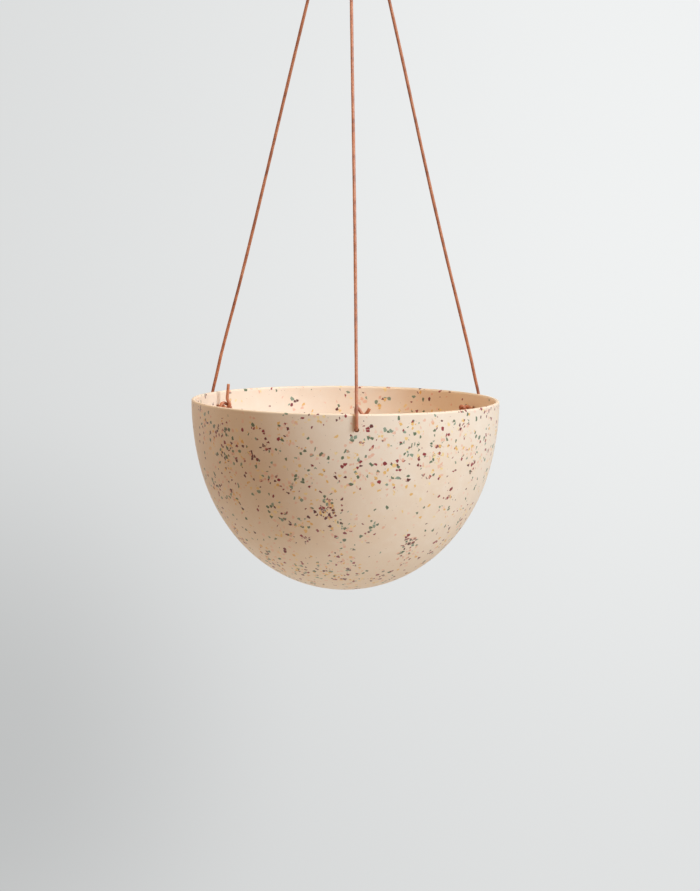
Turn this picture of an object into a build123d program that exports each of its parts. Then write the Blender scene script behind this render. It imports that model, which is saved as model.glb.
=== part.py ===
from build123d import *
from math import acos, cos, radians, sin, sqrt, tan
import os

os.makedirs("parts", exist_ok=True)

# Hanging planter: a cast terrazzo bowl on three leather cords.
# Millimetres, +Z up. The origin is the seat of the hook, on the inside of the hanging loop's top.
# The viewer stands on the -Y side.

# Bowl
bowl_radius = 115.0  # outside, at the rim
bowl_height = 142.5  # rim to the lowest point outside
bowl_fullness = 2.08  # 2.0 is a plain ellipse, more is fuller
rim_wall = 3.0
base_wall = 6.0
rim_rounding = 1.25
outline_spans = 2  # stretches of the bowl's curved outline, each made of two arcs

# Cord holes in the bowl
hole_drop = 11.5  # rim to the hole's centre
hole_play = 0.45  # round the cord, inside the hole
mouth_softening = 0.4  # bevel at each mouth of a hole
cord_azimuths = {"front": -86.0, "back_right": 29.5, "back_left": 150.5}
strand_azimuths = {"front": -90.0, "back_right": 30.0, "back_left": 150.0}  # where they gather

# Leather cord
cord_diameter = 2.5
cord_sides = 8  # flats that stand for the round section
seat_gap = 0.35  # between the cord and what it lies against
turn_gap = 0.3  # between pieces that turn on each other
strand_gap = 0.45  # between neighbouring strands of the bundle
run_share = 0.45  # of the shorter run at a bend, taken up by the bend's arc
own_stretch = 5.75  # length of cord that is left out when its gap to itself is measured

# Heights of the hanging gear
gather_height = 412.0  # rim to the point where the three cords come together
upright_run = 6.0  # the cords' upright stretch above that point
neck_length = 5.0  # strands between the cords and the top knot
loop_height = 25.0  # hook seat to the ball that the top knot swings in

# Hanging loop
eye_width = 12.7  # clear width between the legs
arch_run = 6.4  # the short straight crown over the hook
arch_shoulder = 4.25  # from the crown down to the widest place
leg_shoulder = 9.0  # the stretch where the legs stay at their widest
leg_foot = 3.0  # the legs' upright end above the knot
strand_stub = 2.4  # straight end of each strand, above and below the top knot
cut_end_depth = 1.1  # the third cord's cut end, below the other two where they leave the knot

# Stop knots
knot_gap = 0.526  # least gap between two passes of the cord in a stop knot
knot_stub = 1.6  # straight end of the knot, towards the hole
knot_face_inset = 0.7  # from the bowl's inside wall to that end, inwards
tails = {
    "front": {"roll": 0.0, "ends": [(-1.85, 3.0, -1.0), (-1.95, 5.0, -0.2)]},
    "back_right": {"roll": 180.0, "ends": [(-1.9, 3.0, -0.6), (-2.3, 5.2, -0.9)]},
    "back_left": {"roll": 0.0, "ends": [(-1.85, 3.4, -0.5), (-2.3, 6.9, -0.4)]},
}

cord_radius = cord_diameter / 2
hole_radius = cord_radius + hole_play
strand_offset = (cord_diameter + strand_gap) / sqrt(3)  # strand to the bundle's axis
bundle_radius = strand_offset + cord_radius

# An overhand knot, in units of its own scale. It is unchanged by half a turn about its Y axis,
# so one half is listed: from the crossing over its back down to the end on its -X side.
knot_half = [(0.9, 1.55, -1.15), (1.35, 0.0, -1.5), (1.35, -1.0, -0.3), (0.3, -0.45, 0.9)]
knot_leave = (-1.0, 0.6, 0.1)  # where the plain end turns out of the knot
knot_exit = (-2.2, 0.2, 0.0)  # and where it comes in line with the axis
bundle_exit = (-1.95, 0.2, 0.0)  # the same for the three cords together, whose bends are wider
knot_tail = [(-0.95, 0.5, 0.1), (-1.75, 1.3, -0.5)]  # where a tail turns up instead
knot_closeness = 1.164  # least distance between two passes of the centre line

knot_reach = 1.70  # furthest the centre line goes from the axis crossing, in units
knot_unit = (cord_diameter + knot_gap) / knot_closeness
top_knot_unit = (2 * bundle_radius + strand_gap) / knot_closeness
strand_end = -bundle_exit[0] * top_knot_unit + strand_stub  # the top knot's centre to its strands' ends
swing_radius = max(sqrt(strand_end**2 + bundle_radius**2), knot_reach * top_knot_unit + bundle_radius)

# Levels
knot_centre_z = -loop_height - swing_radius
neck_top_z = knot_centre_z - swing_radius - turn_gap
neck_bottom_z = neck_top_z - neck_length
cords_top_z = neck_bottom_z - turn_gap
gather_z = cords_top_z - upright_run
rim_z = gather_z - gather_height
hole_z = rim_z - hole_drop


def half_turned(point):
    """The point after half a turn about the Y axis."""
    return (-point[0], point[1], -point[2])


def outline_point(radius, height, angle):
    """Point of a superellipse in the XZ plane, from the rim at 0 degrees to the axis at 90."""
    if angle >= 90:
        return Vector(0, 0, rim_z - height)
    across = cos(radians(angle)) ** (2 / bowl_fullness)
    down = sin(radians(angle)) ** (2 / bowl_fullness)
    return Vector(radius * across, 0, rim_z - height * down)


def outline_direction(radius, height, point):
    """Direction of the superellipse at one of its points, on its way down to the axis."""
    steep = (point.X / radius) ** (bowl_fullness - 1) / radius
    level = ((rim_z - point.Z) / height) ** (bowl_fullness - 1) / height
    return Vector(-level, 0, -steep).normalized()


def bowl_outline(radius, height):
    """The superellipse as tangent arcs: each span has two, which meet where both ends' arcs are as long."""
    arcs = []
    for span in range(outline_spans):
        start = outline_point(radius, height, 90 * span / outline_spans)
        end = outline_point(radius, height, 90 * (span + 1) / outline_spans)
        out = outline_direction(radius, height, start)
        back = outline_direction(radius, height, end)
        chord = end - start
        spread = 2 * (1 - out.dot(back))
        lean = chord.dot(out + back)
        reach = (sqrt(lean**2 + spread * chord.dot(chord)) - lean) / spread
        middle = (start + end + (out - back) * reach) * 0.5
        arcs.append(TangentArc(start, middle, tangent=out))
        arcs.append(TangentArc(end, middle, tangent=-back))
    return arcs


def bowl_radius_at(radius, height, drop):
    """Radius of such an outline at a drop below the rim."""
    return radius * (1 - (drop / height) ** bowl_fullness) ** (1 / bowl_fullness)


def radial(azimuth, radius, z, sideways=0.0):
    """Point at a radius and height on an azimuth, moved sideways by an amount, anticlockwise from above."""
    turn = radians(azimuth)
    return Vector(
        radius * cos(turn) - sideways * sin(turn),
        radius * sin(turn) + sideways * cos(turn),
        z,
    )


def bend_radii(points):
    """The arc at each corner of a route: as large as its two runs allow."""
    radii = []
    for before, corner, after in zip(points, points[1:], points[2:]):
        run_in = corner - before
        run_out = after - corner
        half_turn = radians(run_in.get_angle(run_out)) / 2
        radii.append(run_share * min(run_in.length, run_out.length) / tan(half_turn))
    return radii


def centre_line(points, radii):
    """Straight runs joined by tangent arcs."""
    return FilletPolyline(*points, radius=radii)


def tube(path):
    """A cord along a path, with its round section drawn by flats."""
    section = Plane(origin=path @ 0, z_dir=path % 0) * RegularPolygon(cord_radius, cord_sides)
    return sweep(section, path=path)


def spaced_points(path, step=0.5):
    """Points along a path, with how far along each one lies."""
    count = int(path.length / step)
    points = [path @ (k / count) for k in range(count + 1)]
    along = [0.0]
    for before, after in zip(points, points[1:]):
        along.append(along[-1] + (after - before).length)
    return points, along


def least_self_gap(path):
    """Smallest gap that the cord leaves to itself, away from its own next stretch."""
    points, along = spaced_points(path)
    least = 1e9
    for i, here in enumerate(points):
        for j in range(i + 1, len(points)):
            if along[j] - along[i] > own_stretch:
                least = min(least, (here - points[j]).length)
    return least - cord_diameter


def least_gap(path, other):
    """Smallest gap between two cords."""
    there = spaced_points(other)[0]
    return min((p - q).length for p in spaced_points(path)[0] for q in there) - cord_diameter


def report(name, solid, path, radii):
    """Print a cord's tightest bend, and its volume against its section times its length."""
    ideal = RegularPolygon(cord_radius, cord_sides).area * path.length
    print(
        f"{name}: length {path.length:.1f}, least bend radius {min(radii):.2f},"
        f" volume {solid.volume / ideal:.4f} of section times length"
    )


def make_bowl():
    """Cast bowl: an outer and an inner outline turned about the axis, a rounded rim and three cord holes."""
    inner_radius = bowl_radius - rim_wall
    inner_height = bowl_height - base_wall
    rim_edge = Line((bowl_radius, 0, rim_z), (inner_radius, 0, rim_z))
    axis_edge = Line((0, 0, rim_z - bowl_height), (0, 0, rim_z - inner_height))
    outside = bowl_outline(bowl_radius, bowl_height)
    inside = bowl_outline(inner_radius, inner_height)
    section = make_face([*outside, axis_edge, *inside, rim_edge])
    rim_corners = section.vertices().sort_by(Axis.Z)[-2:]
    section = fillet(rim_corners, radius=rim_rounding)
    bowl = revolve(section, axis=Axis.Z)
    outer_mouth = bowl_radius_at(bowl_radius, bowl_height, hole_drop)
    inner_mouth = bowl_radius_at(inner_radius, inner_height, hole_drop)
    for azimuth in cord_azimuths.values():
        middle = radial(azimuth, (outer_mouth + inner_mouth) / 2, hole_z)
        bore = Plane(origin=middle, z_dir=radial(azimuth, 1, 0)) * Cylinder(hole_radius, 4 * rim_wall)
        bowl -= bore
        for mouth in (outer_mouth, inner_mouth):
            bowl = soften_mouth(bowl, radial(azimuth, mouth, hole_z))
    return bowl


def soften_mouth(bowl, centre):
    """The bowl with a bevel round the mouth of the hole at a point."""
    edges = [
        edge for edge in bowl.edges() if (edge.center(CenterOf.BOUNDING_BOX) - centre).length < hole_radius
    ]
    return chamfer(edges, length=mouth_softening)


def cord_face_radius():
    """Radius of the face where a cord leaves its stop knot, just inside the bowl."""
    inner_mouth = bowl_radius_at(bowl_radius - rim_wall, bowl_height - base_wall, hole_drop)
    return inner_mouth - knot_face_inset


def make_cord(name, azimuth):
    """One cord: out through its hole, up the wall, over the rim and straight up to the gathering point."""
    clear_radius = bowl_radius + seat_gap + cord_radius
    rounding = rim_rounding + seat_gap + cord_radius
    lean = acos(gather_height / sqrt(gather_height**2 + (clear_radius - strand_offset) ** 2))
    over_rim_z = rim_z - rim_rounding + rounding * tan(lean / 2)
    points = [
        radial(azimuth, cord_face_radius(), hole_z),
        radial(azimuth, clear_radius, hole_z),
        radial(azimuth, clear_radius, over_rim_z),
        radial(strand_azimuths[name], strand_offset, gather_z),
        radial(strand_azimuths[name], strand_offset, cords_top_z),
    ]
    radii = bend_radii(points)
    radii[1] = rounding
    path = centre_line(points, radii)
    solid = tube(path)
    report(f"cord_{name}", solid, path, radii)
    return solid


def make_stop_knot(name, azimuth):
    """Overhand knot behind the wall, from its end in line with the hole to its cut tail."""
    last_corner = [half_turned(knot_exit), half_turned(knot_leave)]
    far_half = [half_turned(point) for point in reversed(knot_half)]
    corners = last_corner + far_half + knot_half + knot_tail + tails[name]["ends"]
    centre_radius = cord_face_radius() - knot_stub + knot_exit[0] * knot_unit
    roll = radians(tails[name]["roll"])

    def placed(corner):
        out, across, side = (knot_unit * value for value in corner)
        across -= knot_unit * knot_exit[1]
        upwards = across * cos(roll) - side * sin(roll)
        sideways = across * sin(roll) + side * cos(roll)
        return radial(azimuth, centre_radius + out, hole_z + upwards, -sideways)

    points = [radial(azimuth, cord_face_radius(), hole_z)] + [placed(corner) for corner in corners]
    radii = bend_radii(points)
    path = centre_line(points, radii)
    solid = tube(path)
    report(f"stop_knot_{name}", solid, path, radii)
    print(f"  least gap to itself {least_self_gap(path):.2f}")
    return solid


def bundle_strand(corners, first_offset):
    """Corners and radii of a strand that runs parallel to a bundle's axis.

    The offset is carried along the axis without twist, so every strand keeps its distance to the others.
    """
    radii = bend_radii(corners)
    offset = first_offset
    points = [corners[0] + offset]
    strand_radii = []
    for before, corner, after, radius in zip(corners, corners[1:], corners[2:], radii):
        run_in = (corner - before).normalized()
        run_out = (after - corner).normalized()
        inwards = (run_out - run_in).normalized()
        hinge = run_in.cross(run_out).normalized()
        depth = offset.dot(inwards) / cos(radians(run_in.get_angle(run_out)) / 2)
        along_hinge = offset.dot(hinge)
        middle_inwards = depth / cos(radians(run_in.get_angle(run_out)) / 2)
        points.append(corner + hinge * along_hinge + inwards * middle_inwards)
        strand_radii.append(radius - depth)
        normal_out = (inwards - run_out * inwards.dot(run_out)).normalized()
        offset = hinge * along_hinge + normal_out * depth
    points.append(corners[-1] + offset)
    return points, strand_radii, offset


def make_top_knot():
    """Overhand knot of the three cords together, inside the ball in which it swings under the loop.

    The two back cords are one long cord, which leaves the knot's top as the loop's legs.
    The front cord is cut short there. Also gives where each strand comes out on top.
    """
    half = knot_half + [knot_leave, bundle_exit]
    corners = [half_turned(point) for point in reversed(half)] + half

    def placed(corner):
        along, across, side = (top_knot_unit * value for value in corner)
        return Vector(side, across - top_knot_unit * bundle_exit[1], knot_centre_z - along)

    bottom = Vector(0, 0, knot_centre_z - strand_end)
    top = Vector(0, 0, knot_centre_z + strand_end)
    axis_corners = [bottom] + [placed(corner) for corner in corners] + [top]
    strands = []
    paths = []
    tops = {}
    for name, azimuth in strand_azimuths.items():
        points, radii, tops[name] = bundle_strand(axis_corners, radial(azimuth, strand_offset, 0))
        if name == "front":
            points[-1] -= Vector(0, 0, cut_end_depth)
        path = centre_line(points, radii)
        solid = tube(path)
        report(f"top_knot strand {name}", solid, path, radii)
        print(f"  least gap to itself {least_self_gap(path):.2f}")
        strands.append(solid)
        paths.append(path)
    for k in range(3):
        print(f"  least gap between strands {least_gap(paths[k], paths[(k + 1) % 3]):.2f}")
    return strands, tops


def make_neck():
    """The three strands' short upright stretch between the cords and the top knot."""
    section = RegularPolygon(cord_radius, cord_sides)
    return [
        Pos(*radial(azimuth, strand_offset, neck_bottom_z)) * extrude(section, neck_length)
        for azimuth in strand_azimuths.values()
    ]


def make_loop(left_foot, right_foot):
    """Hanging loop: two legs that rise from the knot, spread round the eye and meet in a flat crown."""
    half_eye = eye_width / 2 + cord_radius
    crown_z = cord_radius
    shoulder_z = crown_z - arch_shoulder
    waist_z = shoulder_z - leg_shoulder
    bottom_z = knot_centre_z + swing_radius + turn_gap
    foot_z = bottom_z + leg_foot
    points = [
        Vector(left_foot.X, left_foot.Y, bottom_z),
        Vector(left_foot.X, left_foot.Y, foot_z),
        Vector(-half_eye, 0, waist_z),
        Vector(-half_eye, 0, shoulder_z),
        Vector(-arch_run / 2, 0, crown_z),
        Vector(arch_run / 2, 0, crown_z),
        Vector(half_eye, 0, shoulder_z),
        Vector(half_eye, 0, waist_z),
        Vector(right_foot.X, right_foot.Y, foot_z),
        Vector(right_foot.X, right_foot.Y, bottom_z),
    ]
    radii = bend_radii(points)
    path = centre_line(points, radii)
    solid = tube(path)
    report("hang_loop", solid, path, radii)
    return solid


def save(node, pieces):
    """Write a node's solids to its file."""
    shape = Compound(children=pieces) if isinstance(pieces, list) else pieces
    export_step(shape, f"parts/{node}.step")


save("bowl", make_bowl())
for cord_name, cord_azimuth in cord_azimuths.items():
    save(f"cord_{cord_name}", make_cord(cord_name, cord_azimuth))
    save(f"stop_knot_{cord_name}", make_stop_knot(cord_name, cord_azimuth))
save("neck_strands", make_neck())
knot_strands, strand_tops = make_top_knot()
save("top_knot", knot_strands)
save("hang_loop", make_loop(strand_tops["back_right"], strand_tops["back_left"]))
print(f"rim at {rim_z:.2f}, hole at {hole_z:.2f}, cords gather at {gather_z:.2f}")
print(f"top knot centred at {knot_centre_z:.2f}, swing radius {swing_radius:.2f}")
print(f"neck from {neck_bottom_z:.2f} to {neck_top_z:.2f}")
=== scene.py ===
"""Looks of a terrazzo planter hung on three leather laces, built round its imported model.

Metres, +Z up, with the origin at the seat of the hook. The viewer stands on the -Y side.
"""

from __future__ import annotations

import logging
import math
from dataclasses import dataclass, field
from enum import Enum
from typing import Sequence, Union

import bpy
import numpy as np
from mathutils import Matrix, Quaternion, Vector

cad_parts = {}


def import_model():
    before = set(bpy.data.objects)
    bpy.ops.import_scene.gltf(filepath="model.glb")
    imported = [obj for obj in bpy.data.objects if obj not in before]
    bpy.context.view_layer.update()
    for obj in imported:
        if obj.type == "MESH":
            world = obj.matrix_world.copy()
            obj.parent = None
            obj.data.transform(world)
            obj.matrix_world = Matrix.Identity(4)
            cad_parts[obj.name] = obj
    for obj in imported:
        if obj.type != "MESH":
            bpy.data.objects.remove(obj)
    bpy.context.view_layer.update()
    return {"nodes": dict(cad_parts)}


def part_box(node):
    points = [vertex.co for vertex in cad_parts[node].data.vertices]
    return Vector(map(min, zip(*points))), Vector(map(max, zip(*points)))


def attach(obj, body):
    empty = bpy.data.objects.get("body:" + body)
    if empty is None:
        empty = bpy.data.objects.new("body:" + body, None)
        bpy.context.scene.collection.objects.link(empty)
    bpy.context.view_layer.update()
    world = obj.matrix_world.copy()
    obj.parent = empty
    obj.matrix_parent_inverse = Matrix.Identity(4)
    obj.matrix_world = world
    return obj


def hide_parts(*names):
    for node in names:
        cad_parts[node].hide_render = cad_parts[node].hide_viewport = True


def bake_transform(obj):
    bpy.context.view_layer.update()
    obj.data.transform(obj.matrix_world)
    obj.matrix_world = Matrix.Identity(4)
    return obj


log = logging.getLogger("planter")

Triple = tuple[float, float, float]
Colour = Triple
# Where a ramp starts and ends, and its results there.
Ramp = tuple[float, float, float, float]
UP = Vector((0.0, 0.0, 1.0))

# Points between two control points of a lace, of a knot and of the loop, and along a strand of the neck.
LACE_STEPS = 24
KNOT_STEPS = 10
LOOP_STEPS = 12
NECK_POINTS = 15


def screen_colour(red: float, green: float, blue: float) -> Colour:
    """Linear colour of a screen colour given from 0 to 255."""
    shares = (red / 255, green / 255, blue / 255)
    return tuple(s / 12.92 if s <= 0.04045 else ((s + 0.055) / 1.055) ** 2.4 for s in shares)


class Side(Enum):
    """The three laces, by where they leave the bowl."""

    FRONT = "front"
    BACK_RIGHT = "back_right"
    BACK_LEFT = "back_left"


class Chip(Enum):
    """The kinds of chip cast into the bowl."""

    MAROON = "maroon"
    TEAL = "teal"
    MUSTARD = "mustard"
    CORAL = "coral"


class Wire:
    """A node's output socket, on which sums and products are written as on a number."""

    def __init__(self, shader: Shader, socket: bpy.types.NodeSocket) -> None:
        """Keep the socket and the shader that it belongs to."""
        self.shader = shader
        self.socket = socket

    def out(self, name: str) -> Wire:
        """Another output of the same node."""
        return Wire(self.shader, self.socket.node.outputs[name])

    def _joined(self, operation: str, first: Feed, second: Feed) -> Wire:
        """Combine two values.

        Args:
            operation: name of the Math or Vector Math operation.
            first: left side.
            second: right side.

        Returns:
            The result, a vector if either side is one.
        """
        sides = (first, second)
        kinds = {side.socket.type if isinstance(side, Wire) else type(side) for side in sides}
        is_vector = bool(kinds & {"VECTOR", "RGBA", tuple})
        kind = "ShaderNodeVectorMath" if is_vector else "ShaderNodeMath"
        return self.shader.node(kind, {"operation": operation}, {0: first, 1: second})

    def __add__(self, other: Feed) -> Wire:
        """Sum."""
        return self._joined("ADD", self, other)

    def __sub__(self, other: Feed) -> Wire:
        """Difference."""
        return self._joined("SUBTRACT", self, other)

    def __rsub__(self, other: Feed) -> Wire:
        """Difference from the number on the left."""
        return self._joined("SUBTRACT", other, self)

    def __mul__(self, other: Feed) -> Wire:
        """Product."""
        return self._joined("MULTIPLY", self, other)

    def __truediv__(self, other: Feed) -> Wire:
        """Quotient."""
        return self._joined("DIVIDE", self, other)

    def __pow__(self, other: Feed) -> Wire:
        """Power."""
        return self._joined("POWER", self, other)

    def __gt__(self, other: Feed) -> Wire:
        """One where this is greater, otherwise nought."""
        return self._joined("GREATER_THAN", self, other)

    def __abs__(self) -> Wire:
        """Size without its sign."""
        return self._joined("ABSOLUTE", self, 0.0)

    def larger(self, other: Feed) -> Wire:
        """The larger of the two."""
        return self._joined("MAXIMUM", self, other)

    def distance(self, place: Sequence[float]) -> Wire:
        """How far this position is from a fixed place."""
        settings = {"operation": "DISTANCE"}
        return self.shader.node("ShaderNodeVectorMath", settings, {0: self, 1: tuple(place)}, "Value")

    def ramp(self, start: float, end: float, low: float = 0.0, high: float = 1.0) -> Wire:
        """Turn a stretch of this value smoothly into another stretch.

        Args:
            start: where the result is low.
            end: where the result is high.
            low: result at the start and before it.
            high: result at the end and past it.

        Returns:
            The smoothly mapped value.
        """
        settings = {"interpolation_type": "SMOOTHSTEP"}
        inputs = {"Value": self, "From Min": start, "From Max": end, "To Min": low, "To Max": high}
        return self.shader.node("ShaderNodeMapRange", settings, inputs)


Feed = Union[Wire, float, tuple]


class Shader:
    """A node tree, emptied, in which every node is added by one method."""

    def __init__(self, tree: bpy.types.NodeTree) -> None:
        """Empty the tree."""
        self.tree = tree
        tree.nodes.clear()

    def node(
        self,
        kind: str,
        settings: dict[str, object] | None = None,
        inputs: dict[int | str, Feed] | None = None,
        output: int | str = 0,
    ) -> Wire:
        """Add a node.

        Args:
            kind: the node's type.
            settings: its own properties, set before its sockets.
            inputs: value or link of each socket, by name or number.
            output: the output wanted, by name or number.

        Returns:
            That output.
        """
        node = self.tree.nodes.new(kind)
        for name, value in (settings or {}).items():
            setattr(node, name, value)
        for key, value in (inputs or {}).items():
            self.feed(node.inputs[key], value)
        return Wire(self, node.outputs[output] if node.outputs else None)

    def feed(self, socket: bpy.types.NodeSocket, value: Feed) -> None:
        """Link a socket, or set it, widening a number or a colour to what the socket holds.

        Args:
            socket: the input socket.
            value: what it gets.
        """
        if isinstance(value, Wire):
            self.tree.links.new(value.socket, socket)
        elif socket.type == "VECTOR" and not isinstance(value, tuple):
            socket.default_value = (value, value, value)
        elif socket.type == "RGBA":
            socket.default_value = (*value, 1.0)
        else:
            socket.default_value = value

    def mix(self, start: Feed, end: Feed, share: Feed) -> Wire:
        """Blend two colours."""
        return self.node("ShaderNodeMix", {"data_type": "RGBA"}, {0: share, 6: start, 7: end}, 2)

    def noise(self, place: Feed, scale: float, detail: float = 2.0, roughness: float = 0.5) -> Wire:
        """Cloudy value from 0 to 1, with its scale in clouds in a metre."""
        inputs = {"Vector": place, "Scale": scale, "Detail": detail, "Roughness": roughness}
        return self.node("ShaderNodeTexNoise", None, inputs)

    def cells(self, place: Feed, scale: float, feature: str) -> Wire:
        """Distance measured in scattered cells, with its scale in cells in a metre."""
        inputs = {"Vector": place, "Scale": scale}
        return self.node("ShaderNodeTexVoronoi", {"feature": feature}, inputs, "Distance")

    def bump(self, height: Feed, distance: float, strength: float) -> Wire:
        """Normal of a surface with small relief, its distance in metres."""
        inputs = {"Height": height, "Distance": distance, "Strength": strength}
        return self.node("ShaderNodeBump", None, inputs)

    def camera_rays(self) -> Wire:
        """One for what the camera sees, straight or in a mirror or glass, otherwise nought."""
        path = self.node("ShaderNodeLightPath", None, None, "Is Camera Ray")
        return path.larger(path.out("Is Glossy Ray")).larger(path.out("Is Transmission Ray"))


def new_material(name: str) -> tuple[bpy.types.Material, Shader]:
    """An empty material and its shader.

    Args:
        name: the material's name.

    Returns:
        The material and the shader.
    """
    material = bpy.data.materials.new(name)
    material.use_nodes = True
    return material, Shader(material.node_tree)


def finish_material(shader: Shader, inputs: dict[int | str, Feed]) -> None:
    """Close a material with one Principled surface that has these inputs."""
    surface = shader.node("ShaderNodeBsdfPrincipled", None, inputs)
    shader.node("ShaderNodeOutputMaterial", None, {"Surface": surface})


def dress(piece: bpy.types.Object, material: bpy.types.Material) -> None:
    """Give a piece one material all over.

    Args:
        piece: the piece.
        material: what covers it.
    """
    for index in range(len(piece.material_slots)):
        piece.material_slots[index].link = "DATA"
    piece.data.materials.clear()
    piece.data.materials.append(material)


@dataclass(frozen=True)
class Planter:
    """Sizes of the real thing and the levels of its pieces, worked out from the rim's height."""

    rim_z: float
    rim_radius: float = 0.115
    height: float = 0.1425
    fullness: float = 2.08
    rim_wall: float = 0.003
    base_wall: float = 0.006
    hole_drop: float = 0.0115
    lace_diameter: float = 0.0025
    lace_length: float = 0.4497
    seat_gap: float = 0.00035
    turn_gap: float = 0.0003
    strand_gap: float = 0.00045
    gather_height: float = 0.412
    upright_run: float = 0.006
    loop_height: float = 0.025
    loop_length: float = 0.064
    knot_closeness: float = 1.164
    strand_stub: float = 0.0024
    bundle_exit: float = 1.95

    @property
    def lace_radius(self) -> float:
        """Half the lace's diameter."""
        return self.lace_diameter / 2

    @property
    def strand_offset(self) -> float:
        """From a strand to the middle of the bundle of three."""
        return (self.lace_diameter + self.strand_gap) / math.sqrt(3)

    @property
    def hole_z(self) -> float:
        """Height of the lace holes."""
        return self.rim_z - self.hole_drop

    @property
    def gather_z(self) -> float:
        """Height at which the laces come together."""
        return self.rim_z + self.gather_height

    @property
    def laces_top_z(self) -> float:
        """Top of the three hanging laces."""
        return self.gather_z + self.upright_run

    @property
    def neck_bottom_z(self) -> float:
        """Lower end of the strands under the top knot, where the planter turns."""
        return self.laces_top_z + self.turn_gap

    @property
    def bundle_unit(self) -> float:
        """Scale of the top knot."""
        bundle = 2 * self.strand_offset + self.lace_diameter + self.strand_gap
        return bundle / self.knot_closeness

    @property
    def strand_end(self) -> float:
        """From the top knot's centre to the ends of its strands."""
        return self.bundle_exit * self.bundle_unit + self.strand_stub

    @property
    def swing_radius(self) -> float:
        """Radius of the ball in which the top knot swings."""
        return math.hypot(self.strand_end, self.strand_offset + self.lace_radius)

    @property
    def knot_centre_z(self) -> float:
        """Height of the top knot's centre."""
        return -self.loop_height - self.swing_radius

    def radius_at(self, drop: float, inside: bool = False) -> float:
        """Bowl's radius at a drop below the rim, outside or inside.

        Args:
            drop: depth below the rim.
            inside: whether the inside is meant.

        Returns:
            The radius.
        """
        radius = self.rim_radius - self.rim_wall if inside else self.rim_radius
        height = self.height - self.base_wall if inside else self.height
        return radius * (1 - (drop / height) ** self.fullness) ** (1 / self.fullness)


def radial(azimuth: float, radius: float, z: float, sideways: float = 0.0) -> Vector:
    """Point on an azimuth.

    Args:
        azimuth: degrees, anticlockwise from +X.
        radius: from the bowl's axis.
        z: height.
        sideways: moved anticlockwise from above.

    Returns:
        The point.
    """
    turn = math.radians(azimuth)
    across = Vector((-math.sin(turn), math.cos(turn), 0.0))
    return Vector((math.cos(turn) * radius, math.sin(turn) * radius, z)) + across * sideways


def spline_points(route: Sequence[Vector], per_span: int) -> np.ndarray:
    """Points along the smooth line of a lace.

    Args:
        route: control points of a NURBS spline.
        per_span: points between two of them.

    Returns:
        One row for each point, in order.
    """
    curve = bpy.data.curves.new("route", "CURVE")
    curve.dimensions = "3D"
    spline = curve.splines.new("NURBS")
    spline.points.add(len(route) - 1)
    for point, place in zip(spline.points, route):
        point.co = (*place, 1.0)
    spline.order_u = 3
    spline.use_endpoint_u = True
    spline.resolution_u = per_span
    holder = bpy.data.objects.new("route", curve)
    mesh = bpy.data.meshes.new_from_object(holder)
    line = np.array([vertex.co for vertex in mesh.vertices], float)
    bpy.data.objects.remove(holder)
    bpy.data.curves.remove(curve)
    bpy.data.meshes.remove(mesh)
    return line


def length_of(line: np.ndarray) -> float:
    """Length of a line of points."""
    return float(np.linalg.norm(np.diff(line, axis=0), axis=1).sum())


def carried_across(line: np.ndarray, first: Vector) -> tuple[np.ndarray, np.ndarray]:
    """Carry a direction along a line without twist.

    Args:
        line: points of the line.
        first: direction across its start.

    Returns:
        The line's directions and the carried ones, one row for each point.
    """
    ahead = np.gradient(line, axis=0)
    ahead /= np.linalg.norm(ahead, axis=1)[:, None]
    across = np.empty_like(line)
    carried = first - Vector(ahead[0]) * first.dot(Vector(ahead[0]))
    across[0] = carried.normalized()
    for k in range(1, len(line)):
        turn = Vector(ahead[k - 1]).rotation_difference(Vector(ahead[k]))
        carried = turn @ Vector(across[k - 1])
        carried -= Vector(ahead[k]) * carried.dot(Vector(ahead[k]))
        across[k] = carried.normalized()
    return ahead, across


def ring_faces(rings: int, sides: int, first: int = 0) -> list[tuple[int, ...]]:
    """Faces between closed rings of vertices.

    Args:
        rings: how many rings.
        sides: how many vertices each has.
        first: number of their first vertex.

    Returns:
        Each face's vertices.
    """
    faces = []
    for low in range(first, first + (rings - 1) * sides, sides):
        high = low + sides
        for j in range(sides):
            after = (j + 1) % sides
            faces.append((low + j, low + after, high + after, high + j))
    return faces


class End(Enum):
    """How a stretch of lace ends."""

    RUNS_ON = "runs on"
    CUT = "cut"


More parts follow.
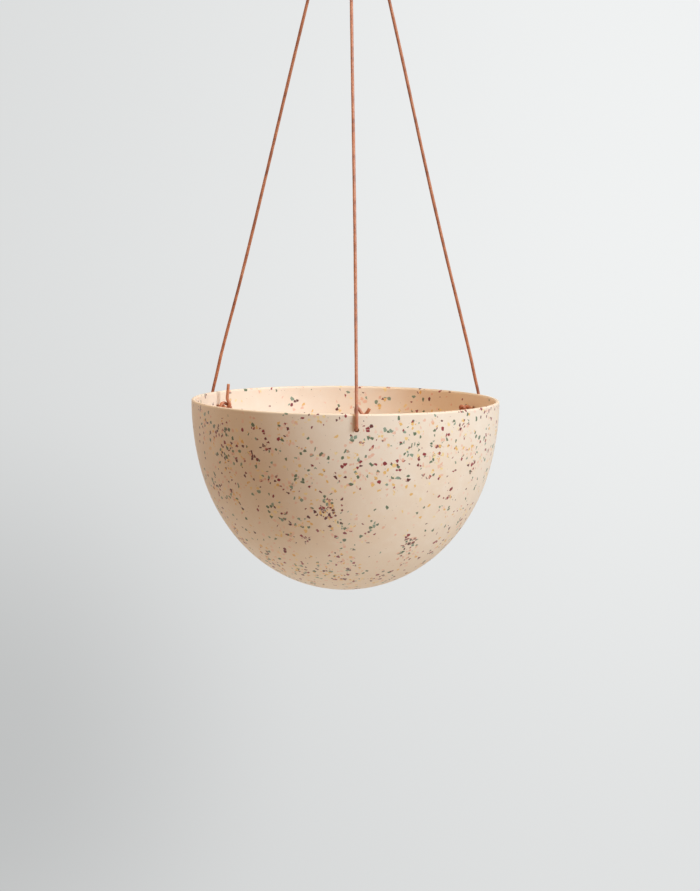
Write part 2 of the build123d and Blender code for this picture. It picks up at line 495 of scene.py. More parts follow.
@dataclass
class LaceMesh:
    """Round laces gathered into one mesh, each vertex with its place on the lace for the leather's grain.

    The swell and the oval are waves, in radians for a metre of lace. A cut end is worn over an edge's length,
    down to the edge shares of the radius. Any other end has one more ring, a seam's length from it.
    """

    radius: float
    sides: int = 16
    unevenness: float = 0.025
    swell_wave: float = 230.0
    swell_drift: float = 1.3
    drift_wave: float = 90.0
    oval_share: float = 0.6
    oval_wave: float = 60.0
    edge: float = 0.00022
    edge_shares: tuple[float, float] = (0.88, 0.55)
    seam: float = 0.00002
    vertices: list[np.ndarray] = field(default_factory=list)
    faces: list[tuple[int, ...]] = field(default_factory=list)
    grain: list[np.ndarray] = field(default_factory=list)
    cut: list[np.ndarray] = field(default_factory=list)

    def _rings(self, line: np.ndarray, end: End) -> tuple[np.ndarray, np.ndarray, np.ndarray]:
        """Spread a line into rings, with a worn edge and a face at a cut end and a close ring at any other.

        Args:
            line: points of the lace's middle.
            end: how it ends.

        Returns:
            Middles of the rings, their shares of the radius, and how much each shows the cut leather.
        """
        along = np.concatenate([[0.0], np.cumsum(np.linalg.norm(np.diff(line, axis=0), axis=1))])
        last = along[-1]
        places = np.insert(along, 1, self.seam)
        if end is End.CUT:
            places = np.append(places[places < last - 2 * self.edge], [last - self.edge, last, last])
        else:
            places = np.insert(places, -1, last - self.seam)
        middles = np.column_stack([np.interp(places, along, line[:, axis]) for axis in range(3)])
        shares = np.ones(len(places))
        bare = np.zeros(len(places))
        if end is End.CUT:
            shares[-2:] = self.edge_shares
            bare[-2:] = 1.0
        return middles, shares, bare

    def add(self, line: np.ndarray, across: Vector, travelled: float = 0.0, end: End = End.RUNS_ON) -> None:
        """Add one lace.

        Args:
            line: points of its middle.
            across: direction across its start, from which its sides are counted.
            travelled: length of the same lace before this stretch.
            end: how it ends.
        """
        middles, shares, bare = self._rings(line, end)
        steps = np.linalg.norm(np.diff(middles, axis=0), axis=1)
        along = travelled + np.concatenate([[0.0], np.cumsum(steps)])
        ahead, side = carried_across(line, across)
        nearest = [int(np.argmin(np.linalg.norm(line - middle, axis=1))) for middle in middles]
        ahead, side = ahead[nearest], side[nearest]
        other = np.cross(ahead, side)
        first = sum(len(block) for block in self.vertices)
        angles = np.arange(self.sides) * 2 * math.pi / self.sides
        drift = self.swell_drift * np.sin(along * self.drift_wave)
        swell = 1 + self.unevenness * np.sin(along * self.swell_wave + drift)
        for k, middle in enumerate(middles):
            oval = 1 + self.oval_share * self.unevenness * np.cos(2 * angles + along[k] * self.oval_wave)
            reach = self.radius * shares[k] * swell[k] * oval / (1 + 2 * self.unevenness)
            first_way = reach * np.cos(angles)
            other_way = reach * np.sin(angles)
            self.vertices.append(middle + first_way[:, None] * side[k] + other_way[:, None] * other[k])
            self.grain.append(np.column_stack([first_way, other_way, np.full(self.sides, along[k])]))
            self.cut.append(np.full(self.sides, bare[k]))
        self.faces += ring_faces(len(middles), self.sides, first)
        last = first + (len(middles) - 1) * self.sides
        self.faces.append(tuple(first + j for j in reversed(range(self.sides))))
        self.faces.append(tuple(last + j for j in range(self.sides)))

    def piece(self, name: str, material: bpy.types.Material) -> bpy.types.Object:
        """Make the mesh's object.

        Args:
            name: name of the piece.
            material: its leather.

        Returns:
            The object, linked to the scene.
        """
        mesh = bpy.data.meshes.new(name)
        mesh.from_pydata(np.concatenate(self.vertices).tolist(), [], self.faces)
        grain = mesh.attributes.new("lace_place", "FLOAT_VECTOR", "POINT")
        grain.data.foreach_set("vector", np.concatenate(self.grain).astype(np.float32).ravel())
        cut = mesh.attributes.new("lace_cut", "FLOAT", "POINT")
        cut.data.foreach_set("value", np.concatenate(self.cut).astype(np.float32))
        mesh.shade_smooth()
        mesh.update()
        piece = bpy.data.objects.new(name, mesh)
        bpy.context.scene.collection.objects.link(piece)
        dress(piece, material)
        return piece


@dataclass(frozen=True)
class Leather:
    """Tan-brown waxed leather lace: mottled, finely cracked with painted shade along the cracks, paler where
    it is worn and where it is cut.
    """

    shade: Colour = screen_colour(146, 80, 52)
    body: Colour = screen_colour(196, 119, 80)
    worn: Colour = screen_colour(222, 164, 124)
    core: Colour = screen_colour(228, 166, 116)
    mottle_scale: float = 75.0
    grain_scale: float = 1600.0
    wrinkle_scale: float = 1500.0
    crack_scale: float = 900.0
    grain_stretch: Triple = (1.0, 1.0, 0.45)
    wrinkle_stretch: Triple = (0.35, 0.35, 1.0)
    crack_wander: float = 0.0004
    crack_ramp: Ramp = (0.0, 0.09, 1.0, 0.0)
    roughness_ramp: Ramp = (0.3, 0.7, 0.38, 0.56)
    cut_roughness: float = 0.3
    worn_share: float = 0.75
    # How much painted shade darkens the cracks.
    crack_shade_share: float = 0.55
    relief_depth: float = 0.00012
    relief_strength: float = 0.6

    def material(self) -> bpy.types.Material:
        """Build the leather's nodes.

        Returns:
            The material.
        """
        material, shader = new_material("leather_lace")
        place = shader.node("ShaderNodeAttribute", {"attribute_name": "lace_place"}, None, "Vector")
        cut = shader.node("ShaderNodeAttribute", {"attribute_name": "lace_cut"}, None, "Fac")
        stretched = place * self.grain_stretch
        mottle = shader.noise(place, self.mottle_scale, 3.0, 0.6)
        grain = shader.noise(stretched, self.grain_scale, 3.0, 0.6)
        wrinkle = shader.noise(place * self.wrinkle_stretch, self.wrinkle_scale, 2.0, 0.5)
        wandering = stretched + wrinkle.out("Color") * self.crack_wander
        open_crack = shader.cells(wandering, self.crack_scale, "DISTANCE_TO_EDGE").ramp(*self.crack_ramp)
        worn = mottle.ramp(0.5, 0.72) * grain.ramp(0.35, 0.65) * self.worn_share
        toned = shader.mix(self.shade, self.body, mottle.ramp(0.33, 0.55))
        toned = shader.mix(toned, self.worn, worn)
        # Painted shade: the lace is darkened along its cracks.
        toned = shader.mix(toned, self.shade, open_crack * self.crack_shade_share)
        bare = shader.mix(self.core, self.body, grain.ramp(0.4, 0.7))
        relief = grain * 0.5 + wrinkle * 0.5 - open_crack * 0.6
        inputs = {
            "Base Color": shader.mix(toned, bare, cut),
            "Roughness": grain.ramp(*self.roughness_ramp) + cut * self.cut_roughness,
            "Normal": shader.bump(relief, self.relief_depth, self.relief_strength),
        }
        finish_material(shader, inputs)
        return material


@dataclass(frozen=True)
class ChipFamily:
    """One kind of chip: its screen colours, its size in metres and the share of such cells that are one.

    The shift moves its pattern away from the others, and the strength is how fully it covers the binder.
    """

    chip: Chip
    shade: Triple
    other_shade: Triple
    size: float
    share: float
    shift: Triple
    strength: float = 1.0


@dataclass(frozen=True)
class Cluster:
    """A place on the bowl's near side where one kind of chip lies close together."""

    chip: Chip
    across: float
    drop: float
    reach: float
    share: float


@dataclass(frozen=True)
class Terrazzo:
    """Honed peach binder with small angular chips, sparser inside the bowl, and pinholes darkened with
    painted shade.
    """

    binder: Colour = screen_colour(235, 211, 187)
    deeper: Colour = screen_colour(230, 198, 167)
    milky: Colour = screen_colour(238, 217, 196)
    # Painted shade in the pinholes.
    painted_pit_shade: Colour = screen_colour(176, 140, 112)
    families: tuple[ChipFamily, ...] = (
        ChipFamily(Chip.MAROON, (146, 52, 54), (100, 48, 44), 0.0022, 0.066, (0.0, 0.0, 0.0)),
        ChipFamily(Chip.TEAL, (100, 110, 82), (138, 148, 124), 0.0024, 0.052, (0.31, 0.0, 0.1)),
        ChipFamily(Chip.MUSTARD, (228, 176, 102), (240, 208, 152), 0.0022, 0.052, (0.0, 0.57, 0.2)),
        ChipFamily(Chip.CORAL, (228, 162, 130), (238, 190, 162), 0.0022, 0.07, (0.7, 0.2, 0.4), 0.7),
    )
    # Metres right of the middle, below the rim and across, then the share added.
    clusters: tuple[Cluster, ...] = (
        Cluster(Chip.MAROON, -0.013, 0.074, 0.010, 0.42),
        Cluster(Chip.MUSTARD, -0.012, 0.073, 0.010, 0.30),
        Cluster(Chip.TEAL, 0.000, 0.083, 0.006, 0.35),
        Cluster(Chip.TEAL, 0.020, 0.082, 0.006, 0.35),
        Cluster(Chip.MAROON, 0.047, 0.098, 0.009, 0.42),
        Cluster(Chip.TEAL, 0.048, 0.099, 0.008, 0.25),
        Cluster(Chip.TEAL, 0.049, 0.026, 0.008, 0.40),
        Cluster(Chip.MAROON, -0.056, 0.024, 0.007, 0.35),
        Cluster(Chip.MAROON, -0.067, 0.034, 0.006, 0.30),
        Cluster(Chip.TEAL, 0.035, 0.042, 0.010, 0.22),
        Cluster(Chip.MAROON, -0.087, 0.041, 0.007, 0.25),
        Cluster(Chip.TEAL, -0.033, 0.049, 0.006, 0.35),
        Cluster(Chip.MAROON, -0.028, 0.095, 0.007, 0.35),
        Cluster(Chip.MAROON, 0.076, 0.062, 0.008, 0.25),
        Cluster(Chip.MAROON, 0.059, 0.058, 0.007, 0.25),
        Cluster(Chip.MUSTARD, 0.067, 0.032, 0.009, 0.28),
        Cluster(Chip.MAROON, 0.018, 0.010, 0.005, 0.35),
    )
    cluster_core: float = 0.35
    inside_share: float = 0.5
    even_share: float = 0.25
    vein_share: float = 1.9
    vein_scale: float = 22.0
    vein_ramp: Ramp = (0.0, 0.07, 1.0, 0.0)
    cloud_share: float = 0.55
    cloud_scale: float = 34.0
    cloud_shift: Triple = (0.4, 0.1, 0.0)
    least_inset: float = 0.01
    inset_spread: float = 0.13
    chip_sharpness: float = 14.0
    ragged_scale: float = 520.0
    ragged_depth: float = 0.0011
    broad_scale: float = 16.0
    patchy_scale: float = 130.0
    patchy_shift: Triple = (0.2, 0.0, 0.1)
    sand_scale: float = 2300.0
    sand_share: float = 0.35
    pore_scale: float = 210.0
    pore_shift: Triple = (0.3, 0.3, 0.0)
    pore_ramp: Ramp = (0.055, 0.085, 1.0, 0.0)
    pit_shade_share: float = 0.6
    roughness: float = 0.5
    sand_roughness: float = 0.14
    chip_polish: float = 0.1
    specular: float = 0.4
    relief_depth: float = 0.00012
    relief_strength: float = 0.45

    def _density(self, family: ChipFamily, centre: Wire, planter: Planter, outside: Wire) -> Wire:
        """How likely a cell is to be a chip.

        Args:
            family: the kind of chip.
            centre: the cell's own place.
            planter: the planter's sizes.
            outside: one on the bowl's outside, nought inside.

        Returns:
            A share from 0 to 1.
        """
        shader = centre.shader
        drift = shader.noise(centre + family.shift, self.vein_scale, 2.0, 0.6)
        vein = abs(drift - 0.5).ramp(*self.vein_ramp)
        cloud = shader.noise(centre + self.cloud_shift, self.cloud_scale, 1.0, 0.5).ramp(0.36, 0.62)
        denser = vein * self.vein_share * cloud + self.even_share + cloud * self.cloud_share
        share = denser * family.share
        for cluster in self.clusters:
            if cluster.chip is family.chip:
                radius = planter.radius_at(cluster.drop)
                near = -math.sqrt(radius**2 - cluster.across**2)
                away = centre.distance((cluster.across, near, planter.rim_z - cluster.drop))
                core = self.cluster_core * cluster.reach
                share = share + away.ramp(core, cluster.reach, cluster.share, 0.0)
        return share * (outside * (1 - self.inside_share) + self.inside_share)

    def _chips(self, family: ChipFamily, place: Wire, planter: Planter, outside: Wire) -> tuple[Wire, Wire]:
        """Mask and colour of one kind of chip.

        Args:
            family: the kind of chip.
            place: position, already made uneven.
            planter: the planter's sizes.
            outside: one on the bowl's outside, nought inside.

        Returns:
            The mask and the colour.
        """
        shader = place.shader
        moved = place + family.shift
        scale = 1 / family.size
        random = shader.cells(moved, scale, "F1").out("Color")
        centre = random.out("Position") - family.shift
        edge = shader.cells(moved, scale, "DISTANCE_TO_EDGE")
        parts = shader.node("ShaderNodeSeparateColor", None, {0: random}, "Red")
        density = self._density(family, centre, planter, outside)
        inset = parts.out("Green") * self.inset_spread + self.least_inset
        shape = ((edge - inset) * self.chip_sharpness + 0.5).ramp(0.0, 1.0)
        shades = (screen_colour(*family.shade), screen_colour(*family.other_shade))
        colour = shader.mix(*shades, parts.out("Blue").ramp(0.3, 0.8))
        return (density > parts) * shape, colour

    def material(self, planter: Planter) -> bpy.types.Material:
        """Build the terrazzo's nodes.

        Args:
            planter: the planter's sizes.

        Returns:
            The material.
        """
        material, shader = new_material("honed_terrazzo")
        place = shader.node("ShaderNodeTexCoord", None, None, "Object")
        axes = shader.node("ShaderNodeSeparateXYZ", None, {0: place}, "X")
        out = (axes**2.0 + axes.out("Y") ** 2.0) ** 0.5
        middle_radius = planter.rim_radius - planter.rim_wall / 2
        middle_height = planter.height - planter.base_wall / 2
        drop = (planter.rim_z - axes.out("Z")).larger(0.0)
        shell = (out / middle_radius) ** planter.fullness + (drop / middle_height) ** planter.fullness
        outside = shell > 1.0
        jitter = shader.noise(place, self.ragged_scale, 2.0, 0.6).out("Color") - (0.5, 0.5, 0.5)
        ragged = place + jitter * self.ragged_depth
        broad = shader.noise(place, self.broad_scale, 3.0, 0.55)
        patchy = shader.noise(place + self.patchy_shift, self.patchy_scale, 3.0, 0.6)
        sand = shader.noise(place, self.sand_scale, 2.0, 0.6)
        depth = broad.ramp(0.42, 0.68) * 0.4 + patchy.ramp(0.5, 0.75) * 0.2
        tone = shader.mix(self.binder, self.deeper, depth)
        tone = shader.mix(tone, self.milky, patchy.ramp(0.5, 0.3) * 0.35)
        tone = shader.mix(tone, self.deeper, sand.ramp(0.5, 0.72) * self.sand_share)
        chips = None
        for family in self.families:
            mask, colour = self._chips(family, ragged, planter, outside)
            tone = shader.mix(tone, colour, mask * family.strength)
            chips = mask if chips is None else chips.larger(mask)
        # Pinholes: pits in the relief, darkened with painted shade.
        pores = shader.cells(place + self.pore_shift, self.pore_scale, "F1").ramp(*self.pore_ramp)
        tone = shader.mix(tone, self.painted_pit_shade, pores * self.pit_shade_share)
        relief = sand * 0.25 + chips * 0.12 - pores
        inputs = {
            "Base Color": tone,
            "Roughness": (sand - 0.5) * self.sand_roughness + self.roughness - chips * self.chip_polish,
            "Specular IOR Level": self.specular,
            "Normal": shader.bump(relief, self.relief_depth, self.relief_strength),
        }
        finish_material(shader, inputs)
        return material


@dataclass
class Bowl:
    """The cast bowl, whose own shape is right and gets its terrazzo."""

    planter: Planter
    terrazzo: Terrazzo = field(default_factory=Terrazzo)

    def build(self, node: bpy.types.Object) -> None:
        """Dress the bowl."""
        dress(node, self.terrazzo.material(self.planter))


# Half of an overhand knot, in units of its own scale. The other half is this one turned about its Y axis.
KNOT_HALF = ((0.9, 1.55, -1.15), (1.35, 0.0, -1.5), (1.35, -1.0, -0.3), (0.3, -0.45, 0.9))
KNOT_LEAVE = (-1.0, 0.6, 0.1)
KNOT_EXIT = (-2.2, 0.2, 0.0)
KNOT_TAIL = ((-0.95, 0.5, 0.1), (-1.75, 1.3, -0.5))
BUNDLE_EXIT_SIDE = 0.2

# Each cut tail's last points: metres inwards from the wall, above the hole and anticlockwise from above.
FRONT_TAIL = (
    (0.0100, 0.0080, 0.0012),
    (0.0098, 0.0144, 0.0000),
    (0.0097, 0.0150, 0.0022),
    (0.0096, 0.0100, 0.0050),
    (0.0095, 0.0094, 0.0078),
    (0.0094, 0.0144, 0.0104),
)
RIGHT_TAIL = ((0.0135, -0.0040, 0.0), (0.0145, -0.0090, 0.0))
LEFT_TAIL = ((0.0076, 0.0059, 0.0), (0.0080, 0.0100, 0.0), (0.0088, 0.0179, 0.0))

# How a lace keeps a little of its bends: shares of its rise and metres to the right there.
FRONT_SWAY = ((0.3, 0.0004), (0.7, -0.0004))
RIGHT_SWAY = ((0.08, 0.0005), (0.345, -0.0012), (0.71, 0.0012))
LEFT_SWAY = ((0.08, -0.0006), (0.25, 0.0009), (0.71, -0.0012))


def half_turned(corner: Sequence[float]) -> Triple:
    """A knot's corner after half a turn about its Y axis."""
    return (-corner[0], corner[1], -corner[2])


@dataclass
class HangingLace:
    """One lace: from its stop knot out through the hole, up over the rim and on to the top."""

    planter: Planter
    side: Side
    azimuth: float
    strand_azimuth: float
    knot_roll: float
    tail: tuple[Triple, ...]
    sway: tuple[tuple[float, float], ...]
    knot_gap: float = 0.00005
    knot_stub: float = 0.0016
    face_inset: float = 0.0007
    hole_bulge: float = 0.0003
    upright_rise: float = 0.007
    over_rim_drop: float = 0.00086
    near_edge: float = 0.015

    @property
    def face_radius(self) -> float:
        """Radius of the place where the lace leaves its stop knot."""
        return self.planter.radius_at(self.planter.hole_drop, inside=True) - self.face_inset

    def route(self) -> list[Vector]:
        """Control points of the lace, from the stop knot to the top.

        Returns:
            The points, in order.
        """
        sizes = self.planter
        clear = sizes.rim_radius + sizes.seat_gap + sizes.lace_radius
        over_rim = radial(self.azimuth, clear, sizes.rim_z - self.over_rim_drop)
        gather = radial(self.strand_azimuth, sizes.strand_offset, sizes.gather_z)
        run = gather - over_rim
        ahead = run.normalized()
        points = [
            radial(self.azimuth, self.face_radius, sizes.hole_z),
            radial(self.azimuth, clear + self.hole_bulge, sizes.hole_z),
            radial(self.azimuth, clear, sizes.hole_z + self.upright_rise),
            over_rim,
            over_rim + ahead * self.near_edge,
        ]
        for share, across in self.sway:
            points.append(over_rim + run * share + Vector((across, 0.0, 0.0)))
        points += [
            gather - ahead * self.near_edge,
            gather,
            radial(self.strand_azimuth, sizes.strand_offset, sizes.neck_bottom_z),
        ]
        return points

    def knot_route(self) -> list[Vector]:
        """Control points of the stop knot, from the hole to the cut tail.

        Returns:
            The points, in order.
        """
        sizes = self.planter
        unit = (sizes.lace_diameter + self.knot_gap) / sizes.knot_closeness
        last_corner = [half_turned(KNOT_EXIT), half_turned(KNOT_LEAVE)]
        far_half = [half_turned(corner) for corner in reversed(KNOT_HALF)]
        corners = [*last_corner, *far_half, *KNOT_HALF, *KNOT_TAIL]
        centre_radius = self.face_radius - self.knot_stub + KNOT_EXIT[0] * unit
        roll = math.radians(self.knot_roll)
        points = [radial(self.azimuth, self.face_radius, sizes.hole_z)]
        for corner in corners:
            out, across, side = (unit * value for value in corner)
            across -= unit * KNOT_EXIT[1]
            upwards = across * math.cos(roll) - side * math.sin(roll)
            sideways = across * math.sin(roll) + side * math.cos(roll)
            points.append(radial(self.azimuth, centre_radius + out, sizes.hole_z + upwards, -sideways))
        for inwards, above, sideways in self.tail:
            points.append(radial(self.azimuth, self.face_radius - inwards, sizes.hole_z + above, sideways))
        return points

    def build(self, leather: bpy.types.Material) -> None:
        """Args:
            leather: the laces' material.
        """
        name = self.side.value
        sizes = self.planter
        across = radial(self.azimuth + 90, 1.0, 0.0)
        line = spline_points(self.route(), LACE_STEPS)
        lace_mesh = LaceMesh(sizes.lace_radius)
        lace_mesh.add(line, across)
        lace = lace_mesh.piece(f"lace_{name}", leather)
        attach(lace, "planter")
        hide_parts(f"cord_{name}")
        knot_line = spline_points(self.knot_route(), KNOT_STEPS)
        knot_mesh = LaceMesh(sizes.lace_radius)
        knot_mesh.add(knot_line, across, end=End.CUT)
        knot = knot_mesh.piece(f"tied_end_{name}", leather)
        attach(knot, "planter")
        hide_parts(f"stop_knot_{name}")
        tuple(radial(self.azimuth, sizes.rim_radius, sizes.hole_z))
        lengths = (1000 * length_of(line), 1000 * length_of(knot_line))
        log.info("lace_%s: %.1f mm, its knot %.1f mm", name, *lengths)


@dataclass
class TopGear:
    """What gathers the laces: their neck, the knot of all three and the loop that the hook holds."""

    planter: Planter
    strand_azimuths: dict[Side, float]
    eye_width: float = 0.0127
    arch_run: float = 0.0064
    arch_shoulder: float = 0.00425
    leg_shoulder: float = 0.009
    leg_foot: float = 0.003
    cut_end_depth: float = 0.0011
    knot_bend_share: float = 0.4
    loop_bend_share: float = 0.5

    @property
    def knot_from(self) -> float:
        """Length of each lace below the top knot."""
        sizes = self.planter
        return sizes.lace_length + sizes.knot_centre_z - sizes.strand_end - sizes.neck_bottom_z

    def _knot_axis(self) -> list[Vector]:
        """Control points of the bundle's middle through the top knot, from below.

        Returns:
            The points, in order.
        """
        sizes = self.planter
        unit = sizes.bundle_unit
        half = [*KNOT_HALF, KNOT_LEAVE, (-sizes.bundle_exit, BUNDLE_EXIT_SIDE, 0.0)]
        corners = [half_turned(corner) for corner in reversed(half)] + half
        points = [Vector((0.0, 0.0, sizes.knot_centre_z - sizes.strand_end))]
        for along, across, side in corners:
            height = sizes.knot_centre_z - along * unit
            points.append(Vector((side * unit, (across - BUNDLE_EXIT_SIDE) * unit, height)))
        points.append(Vector((0.0, 0.0, sizes.knot_centre_z + sizes.strand_end)))
        return points

    def _strands(self) -> dict[Side, np.ndarray]:
        """Middle lines of the three strands through the top knot.

        Returns:
            Each strand's line, by its lace.
        """
        axis = spline_points(self._knot_axis(), KNOT_STEPS)
        lines = {}
        for side, azimuth in self.strand_azimuths.items():
            across = carried_across(axis, radial(azimuth, 1.0, 0.0))[1]
            lines[side] = axis + across * self.planter.strand_offset
        return lines

    def _build_neck(self, leather: bpy.types.Material) -> bpy.types.Object:
        """Make the three strands between the laces and the top knot.

        Args:
            leather: the laces' material.

        Returns:
            The neck.
        """
        sizes = self.planter
        top_z = sizes.knot_centre_z - sizes.strand_end
        mesh = LaceMesh(sizes.lace_radius)
        for azimuth in self.strand_azimuths.values():
            heights = np.linspace(sizes.neck_bottom_z, top_z, NECK_POINTS)
            foot = radial(azimuth, sizes.strand_offset, 0.0)
            line = np.array([(foot.x, foot.y, z) for z in heights])
            mesh.add(line, radial(azimuth + 90, 1.0, 0.0), sizes.lace_length)
        neck = mesh.piece("neck_laces", leather)
        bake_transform(neck)
        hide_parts("neck_strands")
        return neck

    def _build_knot(self, lines: dict[Side, np.ndarray], leather: bpy.types.Material) -> bpy.types.Object:
        """Make the knot of the three laces together.

        Args:
            lines: middle lines of its strands.
            leather: the laces' material.

        Returns:
            The knot.
        """
        sizes = self.planter
        mesh = LaceMesh(sizes.lace_radius)
        for side, line in lines.items():
            end = End.RUNS_ON
            if side is Side.FRONT:
                line = line[line[:, 2] < line[-1, 2] - self.cut_end_depth]
                end = End.CUT
            mesh.add(line, radial(self.strand_azimuths[side] + 90, 1.0, 0.0), self.knot_from, end=end)
        knot = mesh.piece("gathering_knot", leather)
        middle = sizes.knot_centre_z
        start = (0, 0, middle - self.knot_bend_share * sizes.strand_end)
        middle - sizes.strand_end
        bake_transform(knot)
        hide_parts("top_knot")
        return knot

    def _loop_route(self, left_foot: np.ndarray, right_foot: np.ndarray) -> list[Vector]:
        """Control points of the loop, from one leg's foot over the hook to the other.

        Args:
            left_foot: top of the strand that becomes the left leg.
            right_foot: top of the strand that becomes the right leg.

        Returns:
            The control points.
        """
        sizes = self.planter
        half_eye = self.eye_width / 2 + sizes.lace_radius
        crown_z = sizes.lace_radius
        shoulder_z = crown_z - self.arch_shoulder
        waist_z = shoulder_z - self.leg_shoulder
        bottom_z = sizes.knot_centre_z + sizes.strand_end
        foot_z = -sizes.loop_height + sizes.turn_gap + self.leg_foot
        left, right = Vector(left_foot), Vector(right_foot)
        return [
            Vector((left.x, left.y, bottom_z)),
            Vector((left.x, left.y, foot_z)),
            Vector((-half_eye, 0, waist_z)),
            Vector((-half_eye, 0, shoulder_z)),
            Vector((-self.arch_run / 2, 0, crown_z)),
            Vector((self.arch_run / 2, 0, crown_z)),
            Vector((half_eye, 0, shoulder_z)),
            Vector((half_eye, 0, waist_z)),
            Vector((right.x, right.y, foot_z)),
            Vector((right.x, right.y, bottom_z)),
        ]

    def build(self, leather: bpy.types.Material) -> None:
        """Args:
            leather: the laces' material.
        """
        sizes = self.planter
        neck = self._build_neck(leather)
        lines = self._strands()
        knot = self._build_knot(lines, leather)
        route = self._loop_route(lines[Side.BACK_RIGHT][-1], lines[Side.BACK_LEFT][-1])
        line = spline_points(route, LOOP_STEPS)
        mesh = LaceMesh(sizes.lace_radius)
        mesh.add(line, Vector((0.0, 1.0, 0.0)), self.knot_from + length_of(lines[Side.BACK_RIGHT]))
        loop = mesh.piece("hanging_loop", leather)
        foot = (0, 0, sizes.knot_centre_z + sizes.strand_end)
        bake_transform(loop)
        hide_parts("hang_loop")
        log.info("hanging_loop: %.1f mm", 1000 * length_of(line))


@dataclass
class PhotoCamera:
    """The camera at the photograph's angle, with the rim's middle and width where they are there."""

    rim_centre: Vector
    rim_radius: float
    distance: float = 3.0
    elevation: float = 5.3
    roll: float = 0.45
    rim_pixels: float = 153.9
    middle_x: float = 345.5
    middle_y: float = 399.4
    image_width: int = 700
    image_height: int = 891
    sensor: float = 36.0
    clip_end: float = 60.0

    def build(self) -> None:
        """Place the camera."""
        focal = self.rim_pixels * self.distance / self.rim_radius
        rise = math.radians(self.elevation)
        ahead = Vector((0.0, math.cos(rise), -math.sin(rise)))
        across = (self.middle_x - self.image_width / 2) / focal
        above = (self.image_height / 2 - self.middle_y) / focal
        towards = Vector((across, above, -1.0)).normalized()
        level = ahead.to_track_quat("-Z", "Y")
        rolled = Quaternion((0.0, 0.0, 1.0), math.radians(self.roll))
        aimed = towards.rotation_difference(Vector((0.0, 0.0, -1.0)))
        data = bpy.data.cameras.new("camera")
        data.lens = focal * self.sensor / self.image_height
        data.sensor_width = self.sensor
        data.clip_end = self.clip_end
        camera = bpy.data.objects.new("camera", data)
        camera.rotation_mode = "QUATERNION"
        camera.rotation_quaternion = level @ rolled @ aimed
        camera.location = self.rim_centre - ahead * self.distance
        bpy.context.scene.collection.objects.link(camera)
        bpy.context.scene.camera = camera


@dataclass
class SoftLamp:
    """A large soft lamp that shines on the planter from an azimuth right of the viewer and a height."""

    name: str
    azimuth: float
    elevation: float
    distance: float
    size: float
    power: float
    colour: Colour

    def build(self, target: Vector) -> None:
        """Hang the lamp and aim it.

        Args:
            target: what it shines on.
        """
        data = bpy.data.lights.new(self.name, "AREA")
        data.shape = "DISK"
        data.size = self.size
        data.energy = self.power
        data.color = self.colour
        turn, rise = math.radians(self.azimuth), math.radians(self.elevation)
        towards = Vector((math.sin(turn) * math.cos(rise), -math.cos(turn) * math.cos(rise), math.sin(rise)))
        lamp = bpy.data.objects.new(self.name, data)
        lamp.location = target + towards * self.distance
        lamp.rotation_mode = "QUATERNION"
        lamp.rotation_quaternion = (-towards).to_track_quat("-Z", "Y")
        lamp.visible_camera = False
        bpy.context.scene.collection.objects.link(lamp)


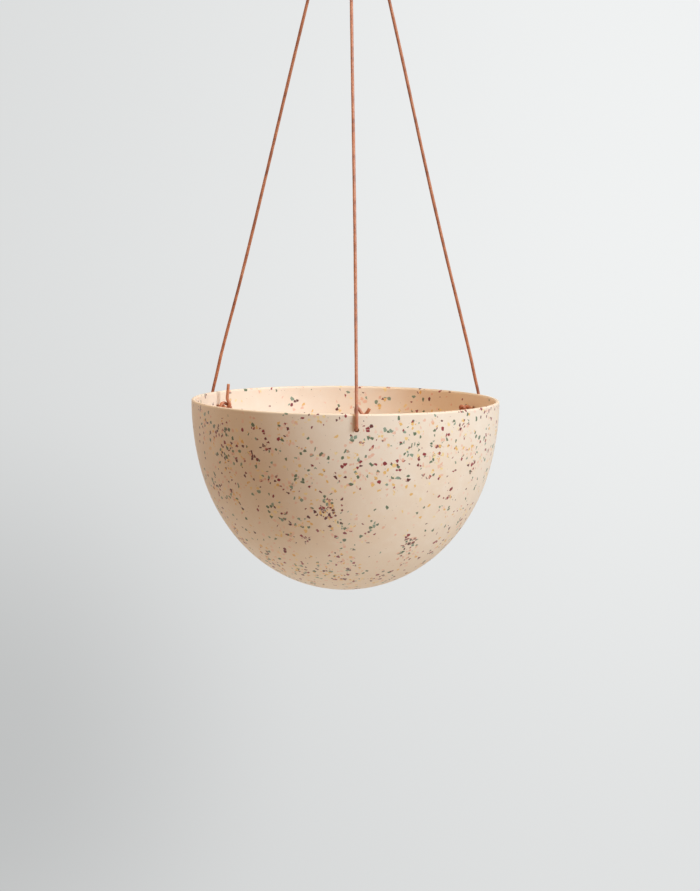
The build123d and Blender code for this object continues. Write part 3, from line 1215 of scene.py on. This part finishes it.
@dataclass
class Studio:
    """A plain pale floor far below, a round backdrop with painted light and shadow, and soft lamps."""

    target: Vector
    floor_z: float = -2.6
    wall_radius: float = 7.0
    wall_top: float = 5.0
    cove: float = 0.8
    cove_steps: int = 8
    sides: int = 192
    # Degrees right of the viewer and up, metres away and across, watts and the colour.
    lamps: tuple[SoftLamp, ...] = (
        SoftLamp("key_lamp", 51.0, 31.0, 3.0, 1.7, 119.0, (0.66, 0.84, 1.0)),
        SoftLamp("edge_lamp", -120.0, 5.0, 3.0, 1.6, 10.5, (0.95, 0.95, 0.9)),
        SoftLamp("top_lamp", -82.0, 76.0, 2.0, 1.4, 19.0, (1.0, 0.9, 0.64)),
        SoftLamp("bounce_lamp", 0.0, -86.0, 1.9, 1.8, 14.2, (0.96, 1.0, 0.94)),
    )
    fill: Colour = (0.305, 0.182, 0.086)
    surround: Colour = screen_colour(238, 240, 240)
    wall_tint: Colour = (0.985, 1.0, 1.0)
    # Painted light falloff on the wall: darker to the left and below.
    painted_falloff_sideways: Ramp = (-1.6, 1.0, 0.69, 0.89)
    painted_falloff_upwards: Ramp = (-2.5, -0.6, 0.852, 1.0)
    # Painted soft shadow low on the left of the wall: its middle, and its ramp.
    painted_shadow_place: Triple = (-0.95, 6.9, -1.95)
    painted_shadow_ramp: Ramp = (0.1, 0.9, 0.84, 1.0)
    floor_middle: float = 0.001
    floor_darker: Colour = screen_colour(205, 204, 202)
    floor_paler: Colour = screen_colour(212, 211, 209)
    floor_glow: Colour = screen_colour(219, 220, 219)
    floor_glow_share: float = 0.75
    floor_scale: float = 3.0

    def _world(self) -> None:
        """Fill light that comes from everywhere, and a pale surround for the camera."""
        world = bpy.data.worlds.new("soft_fill")
        world.use_nodes = True
        bpy.context.scene.world = world
        shader = Shader(world.node_tree)
        colour = shader.mix(self.fill, self.surround, shader.camera_rays())
        background = shader.node("ShaderNodeBackground", None, {0: colour})
        shader.node("ShaderNodeOutputWorld", None, {"Surface": background})

    def _shell(self, name: str, profile: Sequence[tuple[float, float]]) -> bpy.types.Object:
        """Turn a profile about the planter's axis.

        Args:
            name: name of the piece.
            profile: radius and height of each ring.

        Returns:
            The object, marked as stage.
        """
        vertices = []
        for radius, z in profile:
            for j in range(self.sides):
                turn = 2 * math.pi * j / self.sides
                vertices.append((radius * math.cos(turn), radius * math.sin(turn), z))
        mesh = bpy.data.meshes.new(name)
        mesh.from_pydata(vertices, [], ring_faces(len(profile), self.sides))
        mesh.shade_smooth()
        shell = bpy.data.objects.new(name, mesh)
        bpy.context.scene.collection.objects.link(shell)
        return shell

    def _wall_material(self) -> bpy.types.Material:
        """Pale wall with painted light: darker to the left and below, and a painted soft shadow low on the
        left.

        Returns:
            The material.
        """
        material, shader = new_material("pale_wall")
        place = shader.node("ShaderNodeTexCoord", None, None, "Object")
        axes = shader.node("ShaderNodeSeparateXYZ", None, {0: place}, "X")
        sideways = axes.ramp(*self.painted_falloff_sideways)
        upwards = axes.out("Z").ramp(*self.painted_falloff_upwards)
        # Painted soft shadow low on the left of the wall.
        painted_shadow = place.distance(self.painted_shadow_place).ramp(*self.painted_shadow_ramp)
        colour = shader.mix((0.0, 0.0, 0.0), self.wall_tint, sideways * upwards * painted_shadow)
        glow = shader.node("ShaderNodeEmission", None, {0: colour, 1: 1.0})
        shader.node("ShaderNodeOutputMaterial", None, {"Surface": glow})
        return material

    def _floor_material(self) -> bpy.types.Material:
        """Plain pale floor, which keeps the planter's shadow.

        Returns:
            The material.
        """
        material, shader = new_material("pale_floor")
        place = shader.node("ShaderNodeTexCoord", None, None, "Object")
        grain = shader.noise(place, self.floor_scale, 3.0, 0.5)
        plain = shader.mix(self.floor_darker, self.floor_paler, grain)
        matt = shader.node("ShaderNodeBsdfDiffuse", None, {"Color": plain})
        glow = shader.node("ShaderNodeEmission", None, {0: self.floor_glow, 1: 1.0})
        seen = shader.camera_rays() * self.floor_glow_share
        both = shader.node("ShaderNodeMixShader", None, {0: seen, 1: matt, 2: glow})
        shader.node("ShaderNodeOutputMaterial", None, {"Surface": both})
        return material

    def build(self) -> None:
        """Set up the floor, the wall, the fill light and the lamps."""
        self._world()
        inner = self.wall_radius - self.cove
        floor = self._shell("floor", [(self.floor_middle, self.floor_z), (inner, self.floor_z)])
        dress(floor, self._floor_material())
        bend = []
        for k in range(self.cove_steps + 1):
            turn = math.radians(90 * k / self.cove_steps)
            bend.append((inner + self.cove * math.sin(turn), self.floor_z + self.cove * (1 - math.cos(turn))))
        wall = self._shell("wall", [*bend, (self.wall_radius, self.wall_top)])
        dress(wall, self._wall_material())
        wall.visible_diffuse = False
        wall.visible_shadow = False
        for lamp in self.lamps:
            lamp.build(self.target)


def main() -> None:
    """Build the camera, the laces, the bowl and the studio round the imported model."""
    logging.basicConfig(level=logging.INFO, format="%(message)s")
    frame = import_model()
    bpy.context.scene.view_settings.view_transform = "Standard"
    planter = Planter(rim_z=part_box("bowl")[1].z)
    rim_centre = Vector((0.0, 0.0, planter.rim_z))
    PhotoCamera(rim_centre, planter.rim_radius).build()
    leather = Leather().material()
    # Degrees: where the hole is, where the strand is in the bundle, and how the stop knot is turned.
    laces = (
        HangingLace(planter, Side.FRONT, -86.0, -90.0, 0.0, FRONT_TAIL, FRONT_SWAY),
        HangingLace(planter, Side.BACK_RIGHT, 29.5, 30.0, -135.0, RIGHT_TAIL, RIGHT_SWAY),
        HangingLace(planter, Side.BACK_LEFT, 150.5, 150.0, 35.0, LEFT_TAIL, LEFT_SWAY),
    )
    for lace in laces:
        lace.build(leather)
    TopGear(planter, {lace.side: lace.strand_azimuth for lace in laces}).build(leather)
    Bowl(planter).build(frame["nodes"]["bowl"])
    log.info("bowl: terrazzo on the packed shape")
    Studio(rim_centre - UP * (planter.height / 2)).build()


if __name__ == "__main__":
    main()
